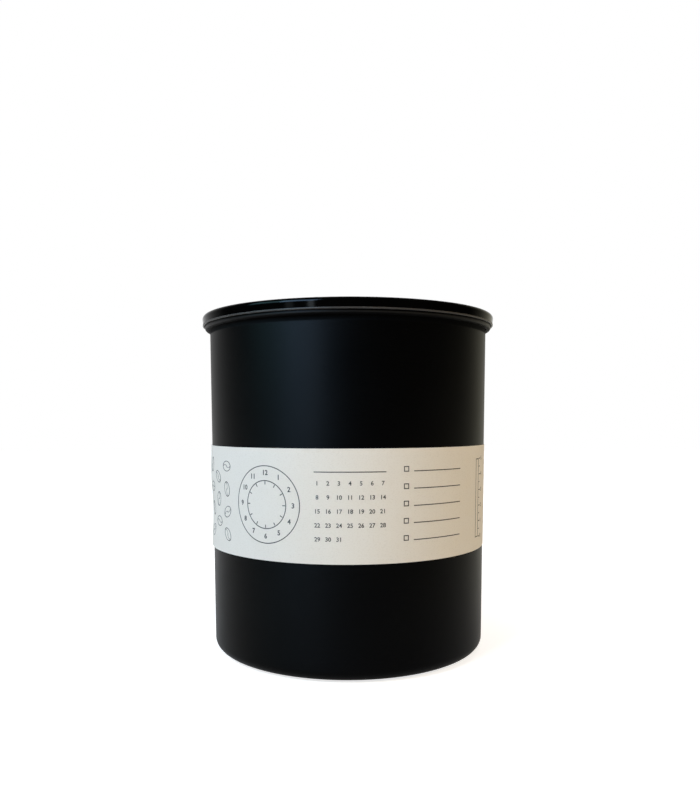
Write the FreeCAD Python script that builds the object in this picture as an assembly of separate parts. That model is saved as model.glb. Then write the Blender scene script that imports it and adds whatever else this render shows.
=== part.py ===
import FreeCAD, Part
import math
import os

# Vacuum food canister. A painted steel can holds the goods, an inner lid slides down inside it and
# presses the air out through a valve, and a clear lid caps the rolled rim.
# Millimetres, +Z up, the origin in the middle of the resting plane, the front of the can towards -Y.

Vector = FreeCAD.Vector

# Overall sizes
OVERALL_HEIGHT = 203.2
CAN_DIAMETER = 168.6

# Steel can, drawn in one piece
SHEET = 0.6
CORNER_RADIUS = 7.0
RECESS_RADIUS = 70.0
RECESS_RISE = 1.6
RECESS_BEND = 1.5

# Rolled rim: two bends joined by their common tangent
RIM_REACH = 3.0
RIM_HEIGHT = 5.8
RIM_TOP_BEND = 1.45
RIM_EDGE_GAP = 0.35

# Rubber pad in the recess of the base
PAD_PROUD = 0.8
PAD_GAP = 0.3
PAD_RIB = 5.0
PAD_GROOVE = 4.0
PAD_GROOVE_DEPTH = 0.7
PAD_GROOVE_COUNT = 5

# Paper sleeve, lapped at the back
LABEL_BOTTOM = 65.2
LABEL_HEIGHT = 61.0
LABEL_PAPER = 0.25
LABEL_GAP = 0.2
LABEL_LAP = 14.0

# Clear top lid
LID_FIT = 0.25
LID_CROWN = 1.85
LID_CROWN_RADIUS = 1.2
LID_SHOULDER_RADIUS = 2.2
LID_SKIRT_TOP = 1.35
LID_SKIRT_WAIST = 0.8
LID_SKIRT_DEPTH = 6.2
LID_LIP = 1.0
LID_LIP_HEIGHT = 1.0
LID_PANEL = 1.8
LID_RECESS = 2.4
LID_DRAFT = 0.4
LID_PLUG_GAP = 0.4
LID_PLUG_WALL = 1.6
LID_PLUG_DEPTH = 6.6
LID_RING_RADIUS = 70.5
LID_RING_WIDTH = 1.2
LID_RING_DEPTH = 0.5
LID_INNER_FILLET = 0.8

# Inner lid dish
DISH_GAP = 1.0
DISH_WALL = 2.2
DISH_FLOOR = 2.5
DISH_HEIGHT = 33.0
DISH_FILLET = 3.0
DISH_EDGE = 0.6
FLANGE = 2.0
CHANNEL_HEIGHT = 6.0
CHANNEL_DEPTH = 2.2

# Wiper seals in the two channels
SEAL_GAP = 0.2
SEAL_BODY = 1.5
SEAL_LIP = 1.1
SEAL_LIP_RISE = 1.6

# Handle: a bow on a cross axle
AXLE_DIAMETER = 4.0
AXLE_END = 2.6
AXLE_CHAMFER = 0.5
BEARING_GAP = 0.06
BOW_SPAN = 120.0
BOW_LEG = 13.0
BOW_GRIP = 16.0
BOW_THICKNESS = 6.0
BOW_FILLET = 2.0
HUB_DIAMETER = 11.0
HUB_GAP = 0.5
BOW_PIN_DIAMETER = 1.8
PIN_INSET = 0.4
HANDLE_HEADROOM = 1.2

# Bearing posts and caps
POST_THICKNESS = 6.0
POST_WIDTH = 21.0
POST_ROUND = 2.0
CAP_FLANGE = 4.0
CAP_ARCH = 6.2
CAP_SCREW_SPACING = 16.4
REST_WIDTH = 22.0
REST_DEPTH = 5.0
REST_ROUND = 1.6
REST_GAP = 0.3

# Retaining clips
CLIP_THICKNESS = 0.8
CLIP_DIAMETER = 8.0
CLIP_GROOVE_DEPTH = 0.5
CLIP_OPENING = 2.6
CLIP_GAP = 0.2

# Screws
SCREW_DIAMETER = 2.6
SCREW_HEAD_DIAMETER = 4.8
SCREW_HEAD_HEIGHT = 1.6
SCREW_DEPTH = 6.5
SCREW_DRIVE = 2.0
SCREW_DRIVE_DEPTH = 0.9

# Valve
VALVE_LIFT = 3.0
PORT_COUNT = 6
PORT_DIAMETER = 5.2
PORT_CIRCLE = 15.6
SEAT_DIAMETER = 27.0
SEAT_WIDTH = 1.5
SEAT_HEIGHT = 1.0
GUIDE_PIN_DIAMETER = 5.0
GUIDE_GAP = 0.08
GUIDE_COLLAR = 2.4
GUIDE_COLLAR_DEPTH = 2.5
DISC_DIAMETER = 31.0
DISC_THICKNESS = 2.0
PLATE_DIAMETER = 29.0
PLATE_THICKNESS = 2.0
YOKE_THICKNESS = 6.0
YOKE_BAR = 2.6
YOKE_TOP = 3.0
YOKE_ROUND = 2.0
YOKE_GAP = 0.8
PIN_HEADROOM = 0.2
CAM_RADIUS = 4.2
CAM_NOSE = 1.5
CAM_GAP = 0.15
CAM_PIN_DIAMETER = 1.5

# Valve spring
SPRING_SPACE = 9.2
SPRING_DIAMETER = 13.3
SPRING_WIRE = 0.9
SPRING_TURNS = 5
SPRING_SEAT_GAP = 0.05
SPRING_LEDGE = 0.9
LEDGE_THICKNESS = 1.5

# Vented valve cover
COVER_DIAMETER = 60.0
COVER_WALL = 2.0
COVER_SHOULDER = 10.0
COVER_CROWN_ANGLE = 20.0
COVER_CROWN_ROOM = 1.0
COVER_SOCKET_WALL = 1.7
COVER_SOCKET_HOLD = 2.4
COVER_NOTCH_GAP = 0.6
VENT_COUNT = 12
VENT_WIDTH = 2.2
VENT_LENGTH = 8.0
VENT_CIRCLE = 36.0
TAB_COUNT = 3
TAB_REACH = 5.5
TAB_WIDTH = 8.4
TAB_THICKNESS = 2.5
TAB_FIRST_ANGLE = 30.0
BOSS_HEIGHT = 5.0

# Radii and heights that follow from the sizes above
can_radius = CAN_DIAMETER / 2
can_bore = can_radius - SHEET
rim_radius = can_radius + RIM_REACH
rim_top = OVERALL_HEIGHT - LID_CROWN - LID_FIT
floor_underside = PAD_PROUD + RECESS_RISE
lid_bore = rim_radius + LID_FIT
panel_top = OVERALL_HEIGHT - LID_RECESS
panel_underside = panel_top - LID_PANEL
axle_radius = AXLE_DIAMETER / 2
bow_radius = BOW_SPAN / 2
bow_inner_reach = bow_radius - BOW_GRIP
bow_inner_half = bow_radius - BOW_LEG
flange_radius = can_bore - DISH_GAP
dish_radius = flange_radius - CHANNEL_DEPTH
dish_bore = dish_radius - DISH_WALL
post_inside = bow_radius + HUB_GAP
post_outside = post_inside + POST_THICKNESS
clip_inside = post_outside + CLIP_GAP
axle_half = clip_inside + CLIP_THICKNESS + AXLE_END
cover_radius = COVER_DIAMETER / 2
boss_circle_radius = cover_radius + TAB_REACH

# The axle lies so high over the dish's floor that the raised poppet's plate still clears the cam
poppet_height = SEAT_HEIGHT + DISC_THICKNESS + PLATE_THICKNESS
axle_height = poppet_height + VALVE_LIFT + YOKE_GAP + CAM_RADIUS
upper_pin_length = SPRING_SPACE - VALVE_LIFT - PIN_HEADROOM
socket_depth = SPRING_SPACE - upper_pin_length + COVER_SOCKET_HOLD

# Heights of the inner lid: its floor lies where the upright bow just clears the clear lid's panel
dish_floor = panel_underside - HANDLE_HEADROOM - bow_radius - axle_height
dish_bottom = dish_floor - DISH_FLOOR
axle_z = dish_floor + axle_height
seat_top = dish_floor + SEAT_HEIGHT
disc_top = seat_top + DISC_THICKNESS
plate_top = disc_top + PLATE_THICKNESS
yoke_underside = axle_z + CAM_RADIUS + CAM_GAP
yoke_top = yoke_underside + YOKE_TOP
spring_seat = yoke_top + SPRING_SPACE
cap_seat = axle_z + CAP_FLANGE
tab_top = dish_floor + BOSS_HEIGHT + TAB_THICKNESS
cam_rate = VALVE_LIFT / (math.pi / 2)
cam_reach = math.hypot(CAM_RADIUS + VALVE_LIFT - CAM_NOSE, cam_rate) + CAM_NOSE
yoke_half = cam_reach + YOKE_GAP


def in_xz(u, v):
    """Point of an upright section through the axis."""
    return Vector(u, 0, v)


def in_yz(u, v):
    """Point of an upright section seen along the axle."""
    return Vector(0, u, v)


def in_xy(u, v):
    """Point of a flat plan."""
    return Vector(u, v, 0)


# The most of a side that one rounded corner may take
CORNER_SHARE = 0.49


def face_of(edges):
    """Flat face inside a closed run of edges."""
    return Part.Face(Part.Wire(edges))


def rounded(corners, plane):
    """Face with straight sides, where each corner (u, v, radius) is rounded as far as its sides allow."""
    count = len(corners)
    entries = []
    for index, (u, v, radius) in enumerate(corners):
        here = plane(u, v)
        before = plane(*corners[index - 1][:2]) - here
        after = plane(*corners[(index + 1) % count][:2]) - here
        half_turn = before.getAngle(after) / 2
        room = CORNER_SHARE * min(before.Length, after.Length)
        reach = min(radius / math.tan(half_turn), room) if radius else 0
        before.normalize()
        after.normalize()
        bend = reach * math.tan(half_turn)
        inwards = before + after
        if reach:
            inwards.normalize()
        middle = here + inwards * (bend / math.sin(half_turn) - bend)
        entries.append((here + before * reach, middle, here + after * reach, reach > 0))
    edges = []
    for index, (first, middle, last, is_round) in enumerate(entries):
        if is_round:
            edges.append(Part.Arc(first, middle, last).toShape())
        following = entries[(index + 1) % count][0]
        edges.append(Part.LineSegment(last, following).toShape())
    return face_of(edges)


def revolved(face):
    """Full turn of a section about the canister's axis."""
    return face.revolve(Vector(), Vector(0, 0, 1), 360)


def bent_sheet(start, moves, thickness):
    """Section of a bent sheet whose middle line starts outwards from a point.

    A move is a straight run, or a (radius, degrees) bend, to the left where the angle is positive.
    """
    half = thickness / 2
    place = in_xz(*start)
    heading = 0.0
    sides = {half: [], -half: []}

    def left_of(angle):
        return Vector(-math.sin(angle), 0, math.cos(angle))

    for move in moves:
        if isinstance(move, tuple):
            radius, degrees = move
            turn = math.radians(degrees)
            hand = math.copysign(1, turn)
            centre = place + left_of(heading) * (hand * radius)
            for offset, edges in sides.items():
                spoke = offset - hand * radius
                points = [centre + left_of(heading + turn * share) * spoke for share in (0, 0.5, 1)]
                edges.append(Part.Arc(*points).toShape())
            heading += turn
            place = centre - left_of(heading) * (hand * radius)
        else:
            ahead = Vector(math.cos(heading), 0, math.sin(heading)) * move
            for offset, edges in sides.items():
                side = place + left_of(heading) * offset
                edges.append(Part.LineSegment(side, side + ahead).toShape())
            place = place + ahead
    left, right = sides.values()
    start_cap = Part.LineSegment(left[0].Vertexes[0].Point, right[0].Vertexes[0].Point).toShape()
    end_cap = Part.LineSegment(left[-1].Vertexes[-1].Point, right[-1].Vertexes[-1].Point).toShape()
    return face_of(Part.__sortEdges__(left + right + [start_cap, end_cap]))


def tube(outer, inner, bottom, top):
    """Plain ring about the canister's axis."""
    corners = [(inner, bottom, 0), (outer, bottom, 0), (outer, top, 0), (inner, top, 0)]
    return revolved(rounded(corners, in_xz))


def post(radius, bottom, top, x=0.0, y=0.0):
    """Upright round bar."""
    return Part.makeCylinder(radius, top - bottom, Vector(x, y, bottom), Vector(0, 0, 1))


def upright_block(width, depth, bottom, top, corner):
    """Block on the axis with rounded upright edges."""
    x = width / 2
    y = depth / 2
    plan = rounded([(-x, -y, corner), (x, -y, corner), (x, y, corner), (-x, y, corner)], in_xy)
    block = plan.extrude(Vector(0, 0, top - bottom))
    block.translate(Vector(0, 0, bottom))
    return block


def bar_along_x(radius, first, last):
    """Round bar on the axle's line."""
    return Part.makeCylinder(radius, last - first, Vector(first, 0, axle_z), Vector(1, 0, 0))


def plate_across_x(face, first, last):
    """Upright plate from a section seen along the axle."""
    plate = face.extrude(Vector(last - first, 0, 0))
    plate.translate(Vector(first, 0, 0))
    return plate


def turned(shape, degrees):
    """Copy turned about the canister's axis."""
    copy = shape.copy()
    copy.rotate(Vector(), Vector(0, 0, 1), degrees)
    return copy


def mirrored(shape):
    """Copy on the other side of the canister, across the axle."""
    return shape.mirror(Vector(), Vector(1, 0, 0))


def joined(first, *others):
    """One solid from touching pieces."""
    return first.fuse(list(others)).removeSplitter()


def around(count, first=0.0):
    """Evenly spaced angles in degrees."""
    return [first + 360 * step / count for step in range(count)]


def screw(x, y, seat):
    """Pan-head screw with a square drive, standing on a seat."""
    head_corners = [
        (0, seat, 0),
        (SCREW_HEAD_DIAMETER / 2, seat, 0),
        (SCREW_HEAD_DIAMETER / 2, seat + SCREW_HEAD_HEIGHT, SCREW_HEAD_HEIGHT / 2),
        (0, seat + SCREW_HEAD_HEIGHT, 0),
    ]
    shank = post(SCREW_DIAMETER / 2, seat - SCREW_DEPTH, seat)
    body = joined(revolved(rounded(head_corners, in_xz)), shank)
    corner = Vector(-SCREW_DRIVE / 2, -SCREW_DRIVE / 2, seat + SCREW_HEAD_HEIGHT - SCREW_DRIVE_DEPTH)
    body = body.cut(Part.makeBox(SCREW_DRIVE, SCREW_DRIVE, SCREW_HEAD_HEIGHT, corner))
    body.translate(Vector(x, y, 0))
    return body


def screw_hole(x, y, seat):
    """Hole that a screw on a seat fills."""
    return post(SCREW_DIAMETER / 2, seat - SCREW_DEPTH, seat, x, y)


def cap_screw_places():
    """Middle lines of the bearing caps' screws."""
    x = (post_inside + post_outside) / 2
    y = CAP_SCREW_SPACING / 2
    return [(x, y), (x, -y), (-x, y), (-x, -y)]


def boss_places():
    """Middle lines of the cover's screws."""
    places = []
    for degrees in around(TAB_COUNT, TAB_FIRST_ANGLE):
        angle = math.radians(degrees)
        places.append((boss_circle_radius * math.cos(angle), boss_circle_radius * math.sin(angle)))
    return places


def make_can_shell():
    """Drawn can: raised floor, rounded corner, straight wall and rolled rim."""
    half = SHEET / 2
    step_angle = math.acos(1 - RECESS_RISE / (2 * RECESS_BEND))
    step_reach = 2 * RECESS_BEND * math.sin(step_angle)
    corner_bend = CORNER_RADIUS - half
    standing_run = can_radius - CORNER_RADIUS - RECESS_RADIUS - step_reach
    upper_centre = (can_radius - half + RIM_TOP_BEND, rim_top - half - RIM_TOP_BEND)
    lower_bend = RIM_REACH - RIM_EDGE_GAP - half
    lower_centre = (can_radius + RIM_EDGE_GAP, rim_top - RIM_HEIGHT + half + lower_bend)
    across = upper_centre[0] - lower_centre[0]
    down = upper_centre[1] - lower_centre[1]
    span = math.hypot(across, down)
    flare = math.atan2(down, across) - math.acos((lower_bend - RIM_TOP_BEND) / span)
    tangent_run = math.sqrt(span ** 2 - (lower_bend - RIM_TOP_BEND) ** 2)
    wall_run = upper_centre[1] - PAD_PROUD - CORNER_RADIUS
    moves = [
        RECESS_RADIUS,
        (RECESS_BEND, -math.degrees(step_angle)),
        (RECESS_BEND, math.degrees(step_angle)),
        standing_run,
        (corner_bend, 90),
        wall_run,
        (RIM_TOP_BEND, math.degrees(flare) - 180),
        tangent_run,
        (lower_bend, -90 - math.degrees(flare)),
    ]
    return revolved(bent_sheet((0, floor_underside + half), moves, SHEET))


def make_base_pad():
    """Rubber disc with ring grooves underneath."""
    radius = RECESS_RADIUS - PAD_GAP
    pad = revolved(rounded([
        (0, 0, 0),
        (radius, 0, PAD_PROUD / 2),
        (radius, floor_underside, 0),
        (0, floor_underside, 0),
    ], in_xz))
    for index in range(PAD_GROOVE_COUNT):
        outer = radius - PAD_RIB - index * (PAD_RIB + PAD_GROOVE)
        pad = pad.cut(tube(outer, outer - PAD_GROOVE, -PAD_GROOVE_DEPTH, PAD_GROOVE_DEPTH))
    return pad


def make_label_sleeve():
    """Paper tube round the can, with its lap at the back."""
    top = LABEL_BOTTOM + LABEL_HEIGHT
    inner = can_radius + LABEL_GAP
    outer = inner + LABEL_PAPER
    sleeve = tube(outer, inner, LABEL_BOTTOM, top)
    lap_angle = math.degrees(LABEL_LAP / outer)
    lap_section = rounded([
        (inner, LABEL_BOTTOM, 0),
        (outer + LABEL_PAPER, LABEL_BOTTOM, 0),
        (outer + LABEL_PAPER, top, 0),
        (inner, top, 0),
    ], in_xz)
    lap = turned(lap_section.revolve(Vector(), Vector(0, 0, 1), lap_angle), 90 - lap_angle / 2)
    return joined(sleeve, lap)


def make_top_lid():
    """Clear lid: a crown over the rim, a skirt with a lip, a plug wall and a recessed panel."""
    top = OVERALL_HEIGHT
    ceiling = top - LID_CROWN
    skirt_end = top - LID_SKIRT_DEPTH
    lip_top = skirt_end + LID_LIP_HEIGHT
    plug_radius = can_bore - LID_PLUG_GAP
    plug_bore = plug_radius - LID_PLUG_WALL
    plug_end = top - LID_PLUG_DEPTH
    ring_outer = LID_RING_RADIUS + LID_RING_WIDTH / 2
    ring_inner = LID_RING_RADIUS - LID_RING_WIDTH / 2
    return revolved(rounded([
        (lid_bore, skirt_end, 0),
        (lid_bore + LID_LIP, skirt_end, LID_LIP_HEIGHT / 2),
        (lid_bore + LID_LIP, lip_top, LID_LIP_HEIGHT / 2),
        (lid_bore + LID_SKIRT_WAIST, lip_top, 0),
        (lid_bore + LID_SKIRT_TOP, top, LID_SHOULDER_RADIUS),
        (plug_bore, top, LID_CROWN_RADIUS),
        (plug_bore - LID_DRAFT, panel_top, LID_INNER_FILLET),
        (ring_outer, panel_top, 0),
        (ring_outer, panel_top - LID_RING_DEPTH, 0),
        (ring_inner, panel_top - LID_RING_DEPTH, 0),
        (ring_inner, panel_top, 0),
        (0, panel_top, 0),
        (0, panel_underside, 0),
        (plug_bore, panel_underside, LID_INNER_FILLET),
        (plug_bore, plug_end, LID_PLUG_WALL / 2),
        (plug_radius, plug_end, LID_PLUG_WALL / 2),
        (plug_radius, ceiling, 0),
        (lid_bore, ceiling, 0),
    ], in_xz))


def channel_bottom(index):
    """Height of the lower side of a seal channel."""
    return dish_bottom + FLANGE + index * (CHANNEL_HEIGHT + FLANGE)


def make_inner_lid_dish():
    """Moulded dish with seal flanges, valve seat, vent ports, bearing posts and screw bosses."""
    dish_top = dish_bottom + DISH_HEIGHT
    corners = [(0, dish_bottom, 0), (flange_radius, dish_bottom, DISH_EDGE)]
    for index in (0, 1):
        low = channel_bottom(index)
        high = low + CHANNEL_HEIGHT
        corners += [(flange_radius, low, 0), (dish_radius, low, 0)]
        corners += [(dish_radius, high, 0), (flange_radius, high, 0)]
    last_flange = channel_bottom(2)
    corners += [
        (flange_radius, last_flange, DISH_EDGE),
        (dish_radius, last_flange, DISH_EDGE),
        (dish_radius, dish_top - FLANGE, DISH_EDGE),
        (flange_radius, dish_top - FLANGE, DISH_EDGE),
        (flange_radius, dish_top, DISH_EDGE),
        (dish_bore, dish_top, DISH_EDGE),
        (dish_bore, dish_floor, DISH_FILLET),
        (0, dish_floor, 0),
    ]
    dish = revolved(rounded(corners, in_xz))

    root = dish_bottom + DISH_FLOOR / 2
    saddle = bearing_block(root, axle_z)
    rest = upright_block(REST_WIDTH, REST_DEPTH, root, axle_z - BOW_THICKNESS / 2 - REST_GAP, REST_ROUND)
    rest.translate(Vector(0, bow_radius - BOW_GRIP / 2, 0))
    seat = tube(SEAT_DIAMETER / 2, SEAT_DIAMETER / 2 - SEAT_WIDTH, root, seat_top)
    collar_end = dish_bottom - GUIDE_COLLAR_DEPTH
    collar = post(GUIDE_PIN_DIAMETER / 2 + GUIDE_COLLAR, collar_end, dish_floor)
    bosses = [post(TAB_WIDTH / 2, root, dish_floor + BOSS_HEIGHT, *place) for place in boss_places()]
    dish = joined(dish, saddle, mirrored(saddle), rest, seat, collar, *bosses)

    port = post(PORT_DIAMETER / 2, dish_bottom, seat_top, PORT_CIRCLE / 2)
    ports = [turned(port, angle) for angle in around(PORT_COUNT)]
    guide = post(GUIDE_PIN_DIAMETER / 2 + GUIDE_GAP, collar_end, dish_floor)
    bearing = bar_along_x(axle_radius + BEARING_GAP, -post_outside, post_outside)
    cap_holes = [screw_hole(*place, cap_seat) for place in cap_screw_places()]
    boss_holes = [screw_hole(*place, tab_top) for place in boss_places()]
    return dish.cut(ports + [guide, bearing] + cap_holes + boss_holes)


def make_wiper_seal(index):
    """Soft ring in a channel, with a lip that wipes the can's wall."""
    low = channel_bottom(index)
    high = low + CHANNEL_HEIGHT
    middle = (low + high) / 2
    body = dish_radius + SEAL_BODY
    tip = can_bore - SEAL_GAP
    return revolved(rounded([
        (dish_radius, low, 0),
        (body, low, SEAL_LIP / 2),
        (body, middle - SEAL_LIP, SEAL_LIP / 2),
        (tip, middle + SEAL_LIP_RISE - SEAL_LIP, SEAL_LIP / 2),
        (tip, middle + SEAL_LIP_RISE, SEAL_LIP / 2),
        (body, middle + SEAL_LIP, SEAL_LIP / 2),
        (body, high, SEAL_LIP / 2),
        (dish_radius, high, 0),
    ], in_xz))


def bearing_block(bottom, top):
    """Block with the plan of the right bearing post."""
    block = upright_block(POST_THICKNESS, POST_WIDTH, bottom, top, POST_ROUND)
    block.translate(Vector((post_inside + post_outside) / 2, 0, 0))
    return block


def make_hinge_cap():
    """Bearing cap on the right: an arch over the axle between two screw flanges."""
    half_width = POST_WIDTH / 2
    arch_foot = math.sqrt(CAP_ARCH ** 2 - CAP_FLANGE ** 2)
    outline = [in_yz(half_width, axle_z), in_yz(half_width, cap_seat), in_yz(arch_foot, cap_seat)]
    crown = in_yz(0, axle_z + CAP_ARCH)
    far_side = [in_yz(-arch_foot, cap_seat), in_yz(-half_width, cap_seat), in_yz(-half_width, axle_z)]
    edges = list(Part.makePolygon(outline).Edges)
    edges.append(Part.Arc(outline[-1], crown, far_side[0]).toShape())
    edges += Part.makePolygon(far_side + [outline[0]]).Edges
    cap = plate_across_x(face_of(edges), post_inside, post_outside)
    cap = cap.common(bearing_block(axle_z, axle_z + CAP_ARCH))
    holes = [screw_hole(*place, cap_seat) for place in cap_screw_places()]
    return cap.cut([bar_along_x(axle_radius + BEARING_GAP, post_inside, post_outside)] + holes)


def make_handle_bow():
    """Flat bow, folded back, whose inner edge is drawn in at the grip, with a hub on each leg."""
    outer_edge = Part.Arc(in_xy(bow_radius, 0), in_xy(0, bow_radius), in_xy(-bow_radius, 0)).toShape()
    half_circle = Part.Arc(in_xy(1, 0), in_xy(0, 1), in_xy(-1, 0)).toShape()
    stretch = FreeCAD.Matrix()
    stretch.scale(bow_inner_half, bow_inner_reach, 1)
    inner_edge = half_circle.transformGeometry(stretch)
    right_foot = Part.LineSegment(in_xy(bow_inner_half, 0), in_xy(bow_radius, 0)).toShape()
    left_foot = Part.LineSegment(in_xy(-bow_radius, 0), in_xy(-bow_inner_half, 0)).toShape()
    plan = face_of(Part.__sortEdges__([outer_edge, left_foot, inner_edge, right_foot]))
    bow = plan.extrude(Vector(0, 0, BOW_THICKNESS))
    bow.translate(Vector(0, 0, axle_z - BOW_THICKNESS / 2))
    bow = bow.makeFillet(BOW_FILLET, [edge for edge in bow.Edges if edge.BoundBox.YLength > BOW_LEG])
    hub = bar_along_x(HUB_DIAMETER / 2, bow_inner_half, bow_radius)
    bow = joined(bow, hub, mirrored(hub))
    bore = bar_along_x(axle_radius, -bow_radius, bow_radius)
    return bow.cut([bore, make_bow_pins()])


def make_bow_pins():
    """Upright cross pins through the two hubs."""
    reach = HUB_DIAMETER / 2 - PIN_INSET
    middle = (bow_inner_half + bow_radius) / 2
    pin = post(BOW_PIN_DIAMETER / 2, axle_z - reach, axle_z + reach, middle)
    return Part.makeCompound([pin, mirrored(pin)])


def make_handle_axle():
    """Cross axle with chamfered ends and clip grooves, drilled for its pins."""
    section = rounded([
        (-axle_half, 0, 0),
        (-axle_half, axle_radius - AXLE_CHAMFER, 0),
        (-axle_half + AXLE_CHAMFER, axle_radius, 0),
        (axle_half - AXLE_CHAMFER, axle_radius, 0),
        (axle_half, axle_radius - AXLE_CHAMFER, 0),
        (axle_half, 0, 0),
    ], in_xz)
    axle = section.revolve(Vector(), Vector(1, 0, 0), 360)
    axle.translate(Vector(0, 0, axle_z))
    groove = clip_ring()
    return axle.cut([groove, mirrored(groove), make_bow_pins(), make_cam_pin()])


def clip_ring():
    """Whole ring that fills the groove at the right end of the axle."""
    clip_outside = clip_inside + CLIP_THICKNESS
    ring = bar_along_x(CLIP_DIAMETER / 2, clip_inside, clip_outside)
    return ring.cut(bar_along_x(axle_radius - CLIP_GROOVE_DEPTH, clip_inside, clip_outside))


def make_axle_clip():
    """Open retaining ring on the right end of the axle."""
    mouth = Part.makeBox(CLIP_THICKNESS, CLIP_DIAMETER, CLIP_OPENING)
    mouth.translate(Vector(clip_inside, 0, axle_z - CLIP_OPENING / 2))
    return clip_ring().cut(mouth)


def cam_point(angle):
    """Point of the cam where a flat follower faces an angle: the lift grows evenly as the angle falls."""
    reach = CAM_RADIUS + cam_rate * (math.pi / 2 - angle)
    y = reach * math.cos(angle) + cam_rate * math.sin(angle)
    z = reach * math.sin(angle) - cam_rate * math.cos(angle)
    return in_yz(y, axle_z + z)


def make_valve_cam():
    """Cam with an involute flank, so that the flat yoke above it rises evenly with the handle."""
    steps = 6
    flank_points = [cam_point(math.pi / 2 * (1 - step / steps)) for step in range(steps + 1)]
    flank = Part.BSplineCurve()
    flank.interpolate(flank_points)
    nose_centre = in_yz(CAM_RADIUS + VALVE_LIFT - CAM_NOSE, axle_z - cam_rate)
    axis = in_yz(0, axle_z)
    line_of_centres = nose_centre - axis
    slope = math.atan2(line_of_centres.z, line_of_centres.y)
    under = slope - math.acos((CAM_RADIUS - CAM_NOSE) / line_of_centres.Length)
    nose_end = nose_centre + in_yz(math.cos(under), math.sin(under)) * CAM_NOSE
    nose_middle = nose_centre + in_yz(math.cos(under / 2), math.sin(under / 2)) * CAM_NOSE
    heel_start = axis + in_yz(math.cos(under), math.sin(under)) * CAM_RADIUS
    heel_half = (under - 1.5 * math.pi) / 2
    heel_middle = axis + in_yz(math.cos(heel_half), math.sin(heel_half)) * CAM_RADIUS
    heel_end = axis + in_yz(0, CAM_RADIUS)
    edges = [
        flank.toShape(),
        Part.Arc(flank_points[-1], nose_middle, nose_end).toShape(),
        Part.LineSegment(nose_end, heel_start).toShape(),
        Part.Arc(heel_start, heel_middle, heel_end).toShape(),
        Part.LineSegment(heel_end, flank_points[0]).toShape(),
    ]
    half = YOKE_THICKNESS / 2
    cam = plate_across_x(face_of(edges), -half, half)
    return cam.cut([bar_along_x(axle_radius, -half, half), make_cam_pin()])


def make_cam_pin():
    """Level cross pin through the cam and the axle."""
    reach = CAM_RADIUS - PIN_INSET
    return Part.makeCylinder(CAM_PIN_DIAMETER / 2, 2 * reach, Vector(0, -reach, axle_z), Vector(0, 1, 0))


def make_valve_poppet():
    """Plate with a yoke round the cam, a guide pin below and a guide pin above."""
    half = YOKE_THICKNESS / 2
    outside = yoke_half + YOKE_BAR
    pin_radius = GUIDE_PIN_DIAMETER / 2
    plate = post(PLATE_DIAMETER / 2, disc_top, plate_top)
    yoke = plate_across_x(rounded([
        (-outside, disc_top, 0),
        (outside, disc_top, 0),
        (outside, yoke_top, YOKE_ROUND),
        (-outside, yoke_top, YOKE_ROUND),
    ], in_yz), -half, half)
    window = plate_across_x(rounded([
        (-yoke_half, plate_top, 0),
        (yoke_half, plate_top, 0),
        (yoke_half, yoke_underside, 0),
        (-yoke_half, yoke_underside, 0),
    ], in_yz), -half, half)
    ledge = post(SPRING_DIAMETER / 2 + SPRING_LEDGE, yoke_top - LEDGE_THICKNESS, yoke_top)
    lower_pin = post(pin_radius, dish_bottom - GUIDE_COLLAR_DEPTH, disc_top)
    upper_pin = post(pin_radius, yoke_top, yoke_top + upper_pin_length)
    return joined(plate, yoke.cut(window), ledge, lower_pin, upper_pin)


def make_valve_disc():
    """Silicone washer between the plate and the seat."""
    return tube(DISC_DIAMETER / 2, GUIDE_PIN_DIAMETER / 2, seat_top, disc_top)


def half_arc_between(first, first_way, last):
    """Arc that leaves a point in a given direction and ends at another point."""
    chord = last - first
    along = chord.normalize()
    length = (last - first).Length
    side = first_way - along * first_way.dot(along)
    bend = math.atan2(side.Length, first_way.dot(along))
    side.normalize()
    middle = (first + last) / 2 + side * (length / 2 * math.tan(bend / 2))
    return Part.Arc(first, middle, last)


def make_valve_spring():
    """Round wire wound on biarcs of a quarter turn."""
    radius = (SPRING_DIAMETER - SPRING_WIRE) / 2
    bottom = yoke_top + SPRING_WIRE / 2 + SPRING_SEAT_GAP
    rise = spring_seat - SPRING_WIRE / 2 - SPRING_SEAT_GAP - bottom
    quarters = 4 * SPRING_TURNS
    climb = rise / (2 * math.pi * SPRING_TURNS)

    def place(angle):
        return Vector(radius * math.cos(angle), radius * math.sin(angle), bottom + climb * angle)

    def way(angle):
        return Vector(-radius * math.sin(angle), radius * math.cos(angle), climb).normalize()

    edges = []
    for quarter in range(quarters):
        start = quarter * math.pi / 2
        end = start + math.pi / 2
        chord = place(end) - place(start)
        spread = 2 * (1 - way(start).dot(way(end)))
        along = chord.dot(way(start) + way(end))
        reach = (math.sqrt(along ** 2 + spread * chord.dot(chord)) - along) / spread
        knee = (place(start) + way(start) * reach + place(end) - way(end) * reach) / 2
        knee_way = (place(end) - way(end) * reach - place(start) - way(start) * reach).normalize()
        edges.append(half_arc_between(place(start), way(start), knee).toShape())
        edges.append(half_arc_between(knee, knee_way, place(end)).toShape())
    path = Part.Wire(edges)
    section = Part.Wire(Part.makeCircle(SPRING_WIRE / 2, place(0), way(0)))
    print("valve_spring gap between turns %.2f mm" % (least_gap(path, rise / SPRING_TURNS) - SPRING_WIRE))
    return path.makePipeShell([section], True, False)


def least_gap(path, pitch):
    """Least distance between the middle lines of neighbouring turns, measured on points."""
    points = path.discretize(Distance=SPRING_WIRE)
    apart = math.ceil(2 * pitch / SPRING_WIRE) + 2
    gaps = []
    for index, point in enumerate(points):
        gaps += [point.distanceToPoint(other) for other in points[index + apart:]]
    return min(gaps)


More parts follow.
